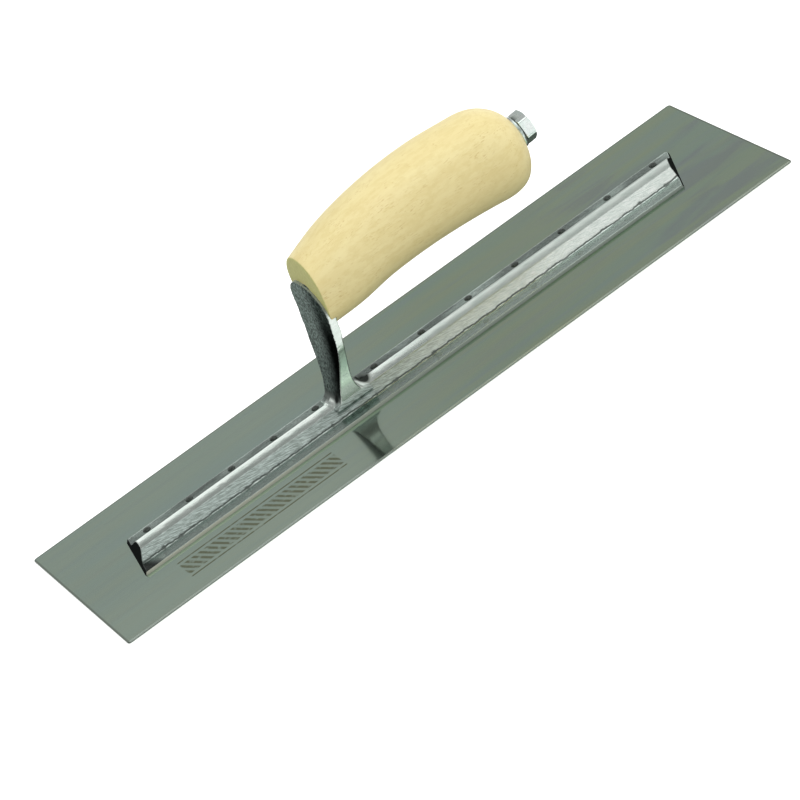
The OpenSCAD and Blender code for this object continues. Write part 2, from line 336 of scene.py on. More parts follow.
def rivet_row(side):
    """Frames of the rivets on the +Y (1) or -Y (-1) side; the -Y row is shifted to -X."""
    shift = STAGGER if side < 0 else 0
    return [moved(x - shift, side * ROW_Y, 0) for x in RIVET_XS]


# ---------------------------------------------------------------- blade
def rounded_outline(inset, steps=10):
    points = []
    for cx, cy, start in ((1, 1, 0), (-1, 1, 90), (-1, -1, 180), (1, -1, 270)):
        for k in range(steps + 1):
            a = math.radians(start + 90 * k / steps)
            points.append((cx * (BLADE_L / 2 - CORNER_R) + (CORNER_R - inset) * math.cos(a),
                           cy * (BLADE_W / 2 - CORNER_R) + (CORNER_R - inset) * math.sin(a)))
    return points


def build_blade():
    """Thin sheet with its edges dressed round, and a countersunk hole for each rivet."""
    levels = [(EDGE_R + 0.25, 0.0)]          # inset, z
    for k in range(5):
        a = math.radians(90 * k / 4)
        levels.append((EDGE_R * (1 - math.sin(a)), EDGE_R * (1 - math.cos(a))))
    levels += [(inset, BLADE_T - z) for inset, z in reversed(levels)]
    verts = [(x, y, z) for inset, z in levels for x, y in rounded_outline(inset)]
    n = len(verts) // len(levels)
    caps = [list(range(n)), list(range(len(verts) - n, len(verts)))]
    ob = solid("blade_sheet", verts, caps + ring_quads(len(levels), n))
    sink, bore, over = 2.2, 1.62, 0.2        # countersink and bore radii, overshoot
    profile = [(0, -over), (sink, -over), (sink, 0.0), (bore, 0.45),
               (bore, BLADE_T + over), (0, BLADE_T + over)]
    cutters = [lathe("rivet_hole", profile, 40, place)
               for side in (1, -1) for place in rivet_row(side)]
    boolean(ob, join("rivet_holes", cutters))
    smooth_by_angle(ob, degrees=40)
    for face in ob.data.polygons:            # the broad faces stay truly flat round the holes
        if abs(face.normal.z) > 0.9995:
            face.use_smooth = False
    return ob


# ---------------------------------------------------------------- mounting
def shank_half(side, grow, steps=24):
    """Half of the end view outline, from the top of the head down: (y, z)."""
    points = []
    for i in range(steps + 1):
        a = math.radians(90 - i * 90 / steps)
        y = side * (HEAD_HALF + grow) * signed_power(math.cos(a), 2 / HEAD_POWER)
        bulge = (HEAD_RISE + grow) * signed_power(math.sin(a), 2 / HEAD_POWER)
        points.append((y, HEAD_MID + bulge + HEAD_ROLL * y))
    return points + [(side * (half + grow), z) for z, half in refined(SHANK_FRONT)]


def shank_outline(grow):
    return shank_half(1, grow) + shank_half(-1, grow)[:0:-1]


def turned(x, y):
    """The shank is turned slightly about its -Y edge."""
    a = math.radians(SHANK_SKEW)
    dx, dy = x - SHANK_X, y + HEAD_HALF
    return (SHANK_X + dx * math.cos(a) - dy * math.sin(a),
            -HEAD_HALF + dx * math.sin(a) + dy * math.cos(a))


def end_normal(skew, lean, way):
    """Outward normal of an end face: +X or -X turned by the skew, then tipped by the lean."""
    turn = (Matrix.Rotation(math.radians(-skew), 3, "Z")
            @ Matrix.Rotation(math.radians(-way * lean), 3, "Y"))
    return turn @ Vector((way, 0, 0))


def build_spar():
    half = [(SPAR_HALF, -0.6), (SPAR_HALF, FLANGE_T - 0.35), (SPAR_HALF - 0.35, FLANGE_T),
            (RIB_BASE + 0.9, FLANGE_T), (RIB_BASE + 0.3, FLANGE_T + 0.15),
            (RIB_BASE, FLANGE_T + 0.45)]
    crown = []
    for i in range(19):
        y = RIB_TOP * (1 - i / 9)
        share = (y + CROWN_SHIFT) / (RIB_TOP + CROWN_SHIFT)
        crown.append((y, RIB_Z + CROWN * (1 - share ** 2)))
    outline = half + crown + [(-y, z) for y, z in reversed(half)]
    spar = prism("mounting_casting", outline, lambda u, v, e: (-170 + 340 * e, u, v + BLADE_T))
    for x, way, skew, lean, _ in SPAR_ENDS:
        cut_plane(spar, (x, 0, BLADE_T), end_normal(skew, lean, way))
    for x, way, _, _, corner in SPAR_ENDS:
        cut_plane(spar, (x + way * SPAR_HALF + way * corner, 0, BLADE_T),
                  end_normal(-45, 0, way))
    return spar


def build_shank():
    """Common part of the side view, drawn through Y, and the end view, drawn through X."""
    rows = refined(SHANK_SIDE)
    side = [(row[1], row[0]) for row in rows] + [(row[2], row[0]) for row in reversed(rows)]
    shank = prism("shank", side, lambda u, v, e: (*turned(u, 30 - 60 * e), v + BLADE_T))
    front = prism("shank_front", shank_outline(grow=0.12),
                  lambda u, v, e: (-60 + 60 * e, u, v + BLADE_T))
    boolean(shank, front, "INTERSECT")
    return shank


def build_mounting():
    """One casting: ribbed spar, shank with flared foot, arched head and the tapped boss."""
    spar = build_spar()
    boolean(spar, build_shank(), "UNION")
    start, end, r = screw_z(BOSS_ROOT_X), screw_z(BOSS_TIP_X), BOSS_D / 2
    boss = [(0, start), (r, start), (r, end - 0.5), (r - 0.5, end), (0, end)]
    boolean(spar, lathe("boss", boss, 64, screw_matrix()), "UNION")
    hole = screw_z(BOSS_HOLE_X)
    boolean(spar, cylinder("boss_hole", SCREW_D / 2 + 0.1, hole, hole + 30, 48, screw_matrix()))
    # voxels and smoothing round every corner, as in a casting
    remesh = spar.modifiers.new("remesh", "REMESH")
    remesh.mode = "VOXEL"
    remesh.voxel_size = 0.34 * MM
    smooth = spar.modifiers.new("smooth", "SMOOTH")
    smooth.factor, smooth.iterations = 0.5, 2
    apply_modifiers(spar)
    cut_plane(spar, (0, 0, BLADE_T + 0.02), (0, 0, -1))
    shape_surface(spar)
    for face in spar.data.polygons:
        face.use_smooth = True
    return spar


def shape_surface(spar):
    """Masks the casting's zones, roughens it by them, and stores them for its material."""
    co, no = coords_and_normals(spar)
    x, y, z = co[:, 0], co[:, 1], co[:, 2] - BLADE_T
    above = np.c_[x, y, z]
    on_spar = fall(z, 6.2, 8.5)
    shank = rise(z, 7.0, 10.0)

    # the rib's sloping sides, ground by hand, and its crown
    near_side = rise(y, -9.4, -8.8) * fall(y, -4.6, -4.0)
    far_side = fall(y, 8.8, 9.4) * rise(y, 4.0, 4.6)
    ground = (near_side + far_side) * on_spar * rise(z, 1.7, 2.1)
    top = (np.abs(y) < 4.4) * on_spar * rise(no[:, 2], 0.5, 0.8)

    # sawn end faces, painted near black as shade in the material
    ends, end_distances = 0, []
    for end_x, way, skew, lean, _ in SPAR_ENDS:
        normal = np.array(end_normal(skew, lean, way))
        distance = (co - np.array([end_x, 0, BLADE_T])) @ normal
        ends = np.maximum(ends, rise(distance, -0.55, -0.2) * rise(no @ normal, 0.5, 0.85))
        end_distances.append(distance)

    # the shank's -X face, as cast
    soft = np.where((y > 0) | (z > 40), 0.08, 0.45)
    front = shank * rise((-no[:, 0] - soft) / 0.3, 0, 1)
    front = np.maximum(front, 0.8 * rise(no[:, 2], 0.15, 0.45) * rise(z, 43.5, 46))

    # line between the rib's -Y side and the flange: ragged, as cast and only partly dressed
    tears = (value_noise(above, size=(5.5, 60, 60), seed=3)
             + 0.55 * value_noise(above, size=(1.7, 60, 60), seed=4))
    ragged = rise(tears, -0.25, 0.5)
    foot = fall(np.abs(y + 9.15), 0.35 + 0.35 * ragged, 0.75 + 0.5 * ragged)
    foot = foot * fall(z, 2.7, 3.2) * on_spar * (y < 0)

    # relief in mm: cast skin, grinding marks, foot line, pits; none at the seat or the blade
    grain = (value_noise(above, size=(2.6, 0.75, 0.9), seed=5)
             + 0.6 * value_noise(above, size=(1.2, 0.5, 0.6), seed=6))
    pits = value_noise(co, size=1.3, seed=8) + 0.5 * value_noise(co, size=0.65, seed=9)
    relief = 0.018 * value_noise(co, size=0.9, seed=1) + 0.03 * value_noise(co, size=2.6, seed=2)
    relief = relief + ground * 0.04 * grain
    relief = relief - foot * (0.03 + 0.05 * ragged)
    relief = relief + front * 0.055 * pits
    in_handle = (x > -26.0) & (z > 36)
    relief = np.minimum(relief * (~in_handle) * rise(z, 0.25, 0.6), 0.12)
    moved_co = ((co + no * relief[:, None]) * MM).astype(np.float32)
    spar.data.vertices.foreach_set("co", moved_co.ravel())
    spar.data.update()

    def blob(at, spread):
        return np.exp(-(((above - at) / spread) ** 2).sum(axis=1))

    # painted shade in pockets at the shank's foot, on its -X and +X sides
    pocket_front = blob(at=(-39.0, -3.9, 8.8), spread=(2.4, 2.0, 3.0))
    pocket_rear = (blob(at=(-22.8, 2.8, 6.9), spread=(2.3, 5.0, 2.8))
                   + 0.9 * blob(at=(-21.0, 8.5, 4.0), spread=(2.6, 6.0, 3.4)))
    flank = shank * rise(np.abs(no[:, 1]), 0.5, 0.85)
    side_rows = np.array(SHANK_SIDE)[::-1]
    rear_x = np.interp(z, side_rows[:, 0], side_rows[:, 2])
    turned_x = x + (y + HEAD_HALF) * SHANK_SLOPE
    toe = rise(z, 6.8 - 1.1 * (y > 2), 8.4 - 1.3 * (y > 2)) * fall(z, 9, 12)
    set_attributes(
        spar,
        ends=ends,
        pocket=np.clip(1.4 * pocket_front + 2.2 * pocket_rear, 0, 1) * (1 - ends),
        shadow=fall(-end_distances[0] + 0.6 * (y + 9), 0.3, 5.2) * rise(-y, 8.6, 9.4) * (z < 2.4),
        foot=foot * (0.35 + 0.65 * ragged),
        ground=ground,
        top=top,
        front=front,
        shank=shank,
        flank=flank,
        arch=rise(z, 46, 52) * (1 - front) * fall(np.abs(no[:, 1]), 0.75, 0.95),
        toe=toe * np.where(x < -30, 1.0, 0.8) * fall(-no[:, 1], 0.5, 0.85),
        rear_edge=flank * rise(turned_x - rear_x, -0.85, -0.35) * fall(z, 36, 40),
        flange=fall(z, 1.7, 2.1) * (1 - shank),
        rim=rise(np.abs(y), SPAR_HALF - 0.5, SPAR_HALF - 0.2) * fall(z, 1.5, 1.7))


# ---------------------------------------------------------------- rivets
def build_rivets():
    """Domed heads along the +Y row, flat ones along the -Y row."""
    top = BLADE_T + FLANGE_T
    r = RIVET_D / 2
    foot = [(0, 0.0), (r + 0.5, 0.0), (r + 0.56, 0.05), (r, 0.44)]
    dome = [(r, top - 0.2), (r + 0.24, top + 0.0), (r + 0.34, top + 0.06),
            (r + 0.32, top + 0.16), (r + 0.2, top + 0.27), (r - 0.05, top + 0.36),
            (r - 0.4, top + 0.42), (r - 0.9, top + 0.46), (0, top + 0.48)]
    flat = [(r, top - 0.2), (r + 0.04, top + 0.03), (r - 0.05, top + 0.07),
            (r - 0.5, top + 0.085), (0, top + 0.09)]
    parts = [lathe("rivet", foot + head, 36, place @ Matrix.Rotation(i * 0.9, 4, "Z"))
             for side, head in ((1, dome), (-1, flat))
             for i, place in enumerate(rivet_row(side))]
    ob = join("rivet_set", parts)
    smooth_by_angle(ob, degrees=42)
    return ob


# ---------------------------------------------------------------- handle
HANDLE_LEAN = math.tan(math.radians(TILT))       # the -X end leans with the shank's head
HANDLE_MID = BLADE_T + HANDLE_STATIONS[0, 2]


def handle_ring(x, shrink=0.0):
    """Section at x; each section leans less the further it is from the -X end."""
    past = x - HANDLE_X0
    station = min(max(past / STATION_PITCH, 0), len(HANDLE_STATIONS) - 1)
    i = min(int(station), len(HANDLE_STATIONS) - 2)
    top, bottom, middle, half = catmull_rom(HANDLE_STATIONS, i, station - i)
    dome_share = min(max((x - HANDLE_X1 + DOME_L) / DOME_L, 0), 1)
    dome = max(1 - dome_share ** DOME_POWER, 0.0) ** (1 / DOME_POWER)
    up = (top - middle) * dome - shrink
    down = (middle - bottom) * dome - shrink
    half = half * dome - shrink
    lean = HANDLE_LEAN * min(max(1 - past / 40, 0), 1)
    # near the -X end the lower half is squarer, and the +Y side is rounder and narrower
    low = max(1 - past / 34, 0) ** 2
    far = max(1 - past / 26, 0) ** 2
    points = []
    for j in range(HANDLE_SEGMENTS):
        a = 2 * math.pi * j / HANDLE_SEGMENTS
        c, s = math.cos(a), math.sin(a)
        power = 2 / (SECTION_POWER + (1.1 * low if s < 0 else (-0.3 * far if c > 0 else 0)))
        dz = (up if s > 0 else down) * signed_power(s, power)
        narrowed = half * (1 - (0.07 * far if c > 0 else 0))
        points.append((x + lean * dz, narrowed * signed_power(c, power), BLADE_T + middle + dz))
    return points


def handle_rings():
    rings = []
    for share in (0.08, 0.3, 0.55, 0.8):         # flat -X end face
        points = []
        for _, y, z in handle_ring(HANDLE_X0, END_R):
            dz = (z - HANDLE_MID) * share
            points.append((HANDLE_X0 + HANDLE_LEAN * dz, y * share, HANDLE_MID + dz))
        rings.append(points)
    for k in range(6):                           # its rounded edge
        a = math.radians(90 * k / 5)
        rings.append(handle_ring(HANDLE_X0 + END_R * (1 - math.cos(a)),
                                 END_R * (1 - math.sin(a))))
    start = HANDLE_X0 + END_R
    for i in range(1, HANDLE_RINGS):             # body, with rings closer towards the dome
        t = i / HANDLE_RINGS
        rings.append(handle_ring(start + (HANDLE_X1 - start) * (1 - (1 - t) ** 1.75)))
    return rings


def build_handle():
    ob = loft("handle_wood", handle_rings())
    r = SEAT_D / 2
    seat = [(0, SEAT), (r - 0.35, SEAT), (r - 0.1, SEAT + 0.1), (r, SEAT + 0.35), (r, 20), (0, 20)]
    boolean(ob, lathe("seat", seat, 96, screw_matrix()))
    boolean(ob, cylinder("screw_hole", 4.4, -150, 10, 64, screw_matrix()))
    boolean(ob, cylinder("boss_socket", BOSS_D / 2 + 0.2, -150, screw_z(BOSS_TIP_X) + 0.2,
                         64, screw_matrix()))
    # recess for the shank's head, cut to its outline back to a plane that leans with the head
    lean = 2.4 / 21

    def recess_point(u, v, end):
        x = -23.0 + (v - 61.9) * lean - (u + HEAD_HALF) * SHANK_SLOPE if end else -60
        return x, u, v + BLADE_T

    boolean(ob, prism("recess", shank_outline(grow=0.14), recess_point))
    smooth_by_angle(ob, degrees=34)
    co, no = coords_and_normals(ob)
    past_end = co[:, 0] - (HANDLE_X0 + HANDLE_LEAN * (co[:, 2] - HANDLE_MID))
    seat_middle = np.array([TIP_X + SEAT, 0, TIP_Z + BLADE_T - 0.52])
    from_seat = np.linalg.norm(co - seat_middle, axis=1)
    set_attributes(ob,
                   endgrain=fall(past_end, 0.35, 0.9) * rise(-no[:, 0], 0.6, 0.85),
                   seat=fall(from_seat, 8.0, 8.6) * (co[:, 0] > 60))
    return ob


# ---------------------------------------------------------------- washer and screw
def build_washer(n=96):
    r, t, bore = WASHER_OD / 2, WASHER_T, 4.2
    profile = [(bore, 0.1), (bore + 0.1, 0.0), (r - 0.35, 0.0), (r - 0.1, 0.1), (r, 0.35),
               (r, t - 0.62), (r, t - 0.5), (r, t - 0.3), (r - 0.08, t - 0.12), (r - 0.28, t),
               (bore + 0.15, t), (bore, t - 0.15)]
    m = len(profile)
    turns = zip(*(ring([radius] * n, z) for radius, z in profile))
    verts = [point for turn in turns for point in turn]
    faces = [[k * m + i, k * m + (i + 1) % m, (k + 1) % n * m + (i + 1) % m, (k + 1) % n * m + i]
             for k in range(n) for i in range(m)]
    ob = solid("washer_ring", verts, faces, screw_matrix(SEAT))
    smooth_by_angle(ob, degrees=50)
    along, _ = screw_coords(coords_and_normals(ob)[0])
    set_attributes(ob, shade=rise(along, -HEX_H - 0.6, -HEX_H - 0.5))
    return ob


def hex_radius(a):
    """Radius of the hexagon, turned by 43 degrees, with its corners eased."""
    from_flat = (math.degrees(a) - 43) % 60 - 30
    sharp = HEX_AF / 2 / math.cos(math.radians(from_flat))
    corner = HEX_AF / 2 / math.cos(math.radians(30))
    return min(sharp, corner - 0.14) - 0.05 * max(0.0, (abs(from_flat) - 25) / 5) ** 2


def build_screw_head(n=240):
    """The radius is the smaller of hexagon and chamfer cone, so the scallops are real."""
    rings = [ring([HEX_AF * 0.445] * n, -HEX_H + rise_z) for rise_z in (0.02, 0.46)]
    levels = [(-HEX_H + 0.5, 0.08), (-HEX_H + 0.62, 0)]          # z, inset of the flats
    levels += [(-1.35 + 1.25 * i / 13, 0) for i in range(14)]
    for z, inset in levels:
        cone = HEX_AF / 2 * 0.965 + (-0.1 - z) * 1.55
        radii = [min(hex_radius(2 * math.pi * k / n) - inset, cone) for k in range(n)]
        rings.append(ring(radii, z))
    for inset, z in ((0.1, -0.045), (0.24, -0.008), (0.45, 0.0)):
        rings.append(ring([r - inset for r in radii], z))
    # shallow dished outer face: radius, z
    for r, z in ((5.0, 0.0), (4.6, -0.02), (4.4, -0.08), (4.0, -0.1), (2.0, -0.1), (0.6, -0.1)):
        rings.append(ring([r] * n, z))
    return loft("screw_head", rings, screw_matrix())


def build_screw_shaft():
    r, thread = SCREW_D / 2, -HEX_H - (SCREW_L - THREAD_L)
    profile = [(0, -HEX_H + 0.2), (r, -HEX_H + 0.2), (r, thread), (r - 0.6, thread - 0.5)]
    for i in range(THREAD_TURNS):
        z = thread - 1 - i * THREAD_PITCH
        profile += [(r - 0.05, z), (r - 0.05, z - 0.16), (r - 0.6, z - 0.56), (r - 0.6, z - 0.72)]
    end = -HEX_H - SCREW_L
    profile += [(r - 0.7, end + 0.5), (r - 1.2, end), (0, end)]
    return lathe("screw_shaft", profile, 48, screw_matrix())


def build_screw():
    ob = join("handle_screw", [build_screw_head(), build_screw_shaft()])
    smooth_by_angle(ob, degrees=24)
    co, no = coords_and_normals(ob)
    along, out = screw_coords(co)
    gap = (out < HEX_AF * 0.46) * (along < -HEX_H + 0.7) * (out > 4.2)
    upper_edge = 0.6 * rise(along, -1.0, -0.5) * rise(no[:, 2], 0.4, 0.7) * (out > 5.6)
    set_attributes(ob, shade=np.maximum(gap, upper_edge))
    return ob


# ---------------------------------------------------------------- shader helpers
class Value:
    """A shader socket; arithmetic on it adds Math nodes."""

    def __init__(self, shader, socket):
        self.shader = shader
        self.socket = socket

    def __add__(self, other):
        return self.shader.math("ADD", self, other)

    def __radd__(self, other):
        return self.shader.math("ADD", other, self)

    def __sub__(self, other):
        return self.shader.math("SUBTRACT", self, other)

    def __rsub__(self, other):
        return self.shader.math("SUBTRACT", other, self)

    def __mul__(self, other):
        return self.shader.math("MULTIPLY", self, other)

    def __rmul__(self, other):
        return self.shader.math("MULTIPLY", other, self)

    def __truediv__(self, other):
        return self.shader.math("DIVIDE", self, other)

    def __abs__(self):
        return self.shader.math("ABSOLUTE", self)

    def times_plus(self, factor, addend):
        return self.shader.math("MULTIPLY_ADD", self, factor, addend)

    def rise(self, low, high):
        """Smooth step from 0 at low to 1 at high."""
        inputs = {"Value": self, "From Min": low, "From Max": high}
        return self.shader.add("MapRange", inputs, "Result", interpolation_type="SMOOTHSTEP")

    def fall(self, low, high):
        return 1.0 - self.rise(low, high)

    def between(self, zero, one):
        """Number that goes from zero to one's value as self goes from 0 to 1."""
        return self.shader.add("Mix", {"Factor": self, 2: zero, 3: one}, data_type="FLOAT")

    def colours(self, zero, one, blend="MIX"):
        """Colour that goes from zero to one's value as self goes from 0 to 1."""
        return self.shader.add("Mix", {"Factor": self, 6: zero, 7: one}, 2,
                               data_type="RGBA", blend_type=blend)

    def tint(self, amount, colour, blend="MIX"):
        """This colour with an amount of another laid over it."""
        return amount.colours(self, colour, blend)

    def dimmed(self, factor):
        return self.shader.add("VectorMath", {0: self, "Scale": factor}, operation="SCALE")


class Shader:
    def __init__(self, tree):
        self.tree = tree

    def put(self, value, socket):
        """Links a Value to an input, or sets the input to a constant."""
        if isinstance(value, Value):
            self.tree.links.new(value.socket, socket)
        elif isinstance(value, tuple) and socket.type == "RGBA":
            socket.default_value = (*value, 1)
        else:
            socket.default_value = value

    def node(self, kind, inputs, **settings):
        node = self.tree.nodes.new("ShaderNode" + kind)
        for name, setting in settings.items():
            setattr(node, name, setting)
        for key, value in inputs.items():
            self.put(value, node.inputs[key])
        return node

    def add(self, kind, inputs={}, output=0, **settings):
        """Adds a node; gives its chosen output, or a list if output is a tuple."""
        outputs = self.node(kind, inputs, **settings).outputs
        if isinstance(output, tuple):
            return [Value(self, outputs[key]) for key in output]
        return Value(self, outputs[output])

    def math(self, operation, *values, clamp=False):
        inputs = dict(enumerate((*values, 0.0, 0.0)[:3]))
        return self.add("Math", inputs, operation=operation, use_clamp=clamp)

    def largest(self, first, *rest):
        return self.math("MAXIMUM", first, self.largest(*rest)) if rest else first

    def xyz(self, vector):
        return self.add("SeparateXYZ", {0: vector}, (0, 1, 2))

    def ramp(self, value, stops, interpolation="LINEAR"):
        """Colour ramp; stops are (position, grey or colour)."""
        result = self.add("ValToRGB", {0: value})
        ramp = result.socket.node.color_ramp
        ramp.interpolation = interpolation
        while len(ramp.elements) < len(stops):
            ramp.elements.new(0.5)
        for element, (position, c) in zip(ramp.elements, stops):
            element.position = position
            element.color = (*c, 1) if isinstance(c, tuple) else (c, c, c, 1)
        return result


class Material(Shader):
    def __init__(self, name):
        self.material = bpy.data.materials.new(name)
        self.material.use_nodes = True
        super().__init__(self.material.node_tree)
        self.bsdf = self.tree.nodes["Principled BSDF"]
        place = self.add("TexCoord", output="Object")
        self.mm = place.dimmed(1 / MM)           # object coordinates in mm

    def axis(self, i):
        return self.xyz(self.mm)[i]

    def normal_z(self):
        return self.xyz(self.add("NewGeometry", output="True Normal"))[2]

    def attribute(self, name):
        return self.add("Attribute", output="Fac", attribute_name=name)

    def texture(self, vector, detail, rough, distortion=0.0):
        return self.add("TexNoise", {"Vector": vector, "Scale": 1.0, "Detail": detail,
                                     "Roughness": rough, "Distortion": distortion}, "Fac")

    def noise(self, size, detail, rough, offset=(0, 0, 0), distortion=0.0):
        """Noise with a feature size in mm, one for all axes or each; INF means no change."""
        sizes = size if isinstance(size, tuple) else (size,) * 3
        vector = self.add("VectorMath", {0: self.mm, 1: tuple(1 / s for s in sizes), 2: offset},
                          operation="MULTIPLY_ADD")
        return self.texture(vector, detail, rough, distortion)

    def bump(self, height, depth, strength, under=None):
        """Relief with a depth in mm, on top of another bump if given."""
        inputs = {"Strength": strength, "Distance": depth * MM, "Height": height}
        if under is not None:
            inputs["Normal"] = under
        return self.add("Bump", inputs)

    def set(self, **inputs):
        for name, value in inputs.items():
            self.put(value, self.bsdf.inputs[name.replace("_", " ")])


# ---------------------------------------------------------------- materials
def blade_material():
    """Steel rolled and brushed along X."""
    m = Material("blade_steel_brushed")
    x, y = m.axis(0), m.axis(1)
    wide = m.noise(size=(150, 13, INF), offset=(3, 2, 0), detail=3, rough=0.55, distortion=0.35)
    mid = m.noise(size=(95, 4.5, INF), offset=(1, 7, 0), detail=3, rough=0.55)
    fine = m.noise(size=(26, 0.32, INF), offset=(5, 1, 0), detail=2, rough=0.6)
    cloud = m.noise(size=(60, 16, INF), offset=(6, 4, 0), detail=3, rough=0.55, distortion=0.5)
    # paler towards -X, palest at the -X -Y corner
    right = x.rise(-75, 40)
    colour = right.colours((0.73, 0.91, 0.79), (0.63, 0.79, 0.635))
    corner = y.fall(-45, 0) * x.fall(-90, -15)
    colour = colour.tint(corner * 0.85, (0.82, 1.0, 0.86))
    # streaks, wide to fine, then smoky patches near the +X end
    streak = m.ramp(wide, [(0.30, (0.94, 0.98, 1.05)), (0.46, (0.99, 1.01, 0.97)),
                           (0.60, (1.06, 1.02, 0.91)), (0.78, (0.96, 0.96, 1.01))])
    colour = colour.tint(right.between(0.45, 0.95), streak, "MULTIPLY")
    colour = colour.tint(mid.rise(0.42, 0.72) * right.between(0.16, 0.34), (0.60, 0.70, 0.68))
    colour = colour.tint(fine.rise(0.40, 0.75) * 0.10, (0.56, 0.62, 0.55))
    smoke = x.rise(70, 125) * cloud.rise(0.47, 0.66)
    colour = colour.tint(smoke * 0.7, (0.55, 0.63, 0.62))
    # etched on the top, on the -Y side: slanted hatching between two thin lines
    along = x + 0.0
    length = along.rise(-138.5, -137.6) * along.fall(-57.4, -56.5)
    band = y.rise(-35.2, -34.9) * y.fall(-25.1, -24.8)
    slant, pitch = 0.55, 3.4
    hatch = m.math("SINE", (along + y * slant) * (2 * math.pi / pitch)).rise(-0.2, 0.2)
    line_a = abs(y + 22.6).fall(0.35, 0.6)
    line_b = abs(y + 37.4).fall(0.35, 0.6)
    etched = m.math("MULTIPLY", length, band * hatch.times_plus(0.85, 0.12) + (line_a + line_b),
                    clamp=True)
    patchy = m.noise(size=(3, 3, INF), detail=3, rough=0.6)
    etched = etched * patchy.rise(0.25, 0.5)
    etched = etched * m.axis(2).rise(0.5, 0.6)
    colour = colour.tint(etched * 0.9, (0.24, 0.26, 0.14))
    # painted shade as a fine dark line at the +Y and end edges, a painted highlight as a light one
    # along the -Y edge
    from_end, from_far = BLADE_L / 2 - abs(x), BLADE_W / 2 - y
    from_near = BLADE_W / 2 + y
    far_rim = m.math("MINIMUM", from_end, from_far).fall(0.45, 1.25)
    near_rim = from_near.fall(0.7, 1.5)
    colour = colour.tint(far_rim * 0.62, (0.30, 0.33, 0.28))
    near_only = near_rim * (1.0 - far_rim)
    colour = colour.tint(near_only * 0.35, (0.90, 0.96, 0.90))
    # painted shade on the sheet's upright edge faces
    upright = abs(m.normal_z()).fall(0.72, 0.97)
    colour = colour.tint(upright * 0.9, (0.13, 0.145, 0.13))
    rough = mid.times_plus(0.05, 0.085)
    rough = etched.times_plus(0.14, rough)
    rough = near_only.times_plus(0.20, rough)
    normal = m.bump(fine, depth=0.0016, strength=1.0)
    normal = m.bump(wide, depth=0.02, strength=1.0, under=normal)
    m.set(Base_Color=colour, Metallic=1.0, Roughness=rough, Normal=normal)
    return m.material


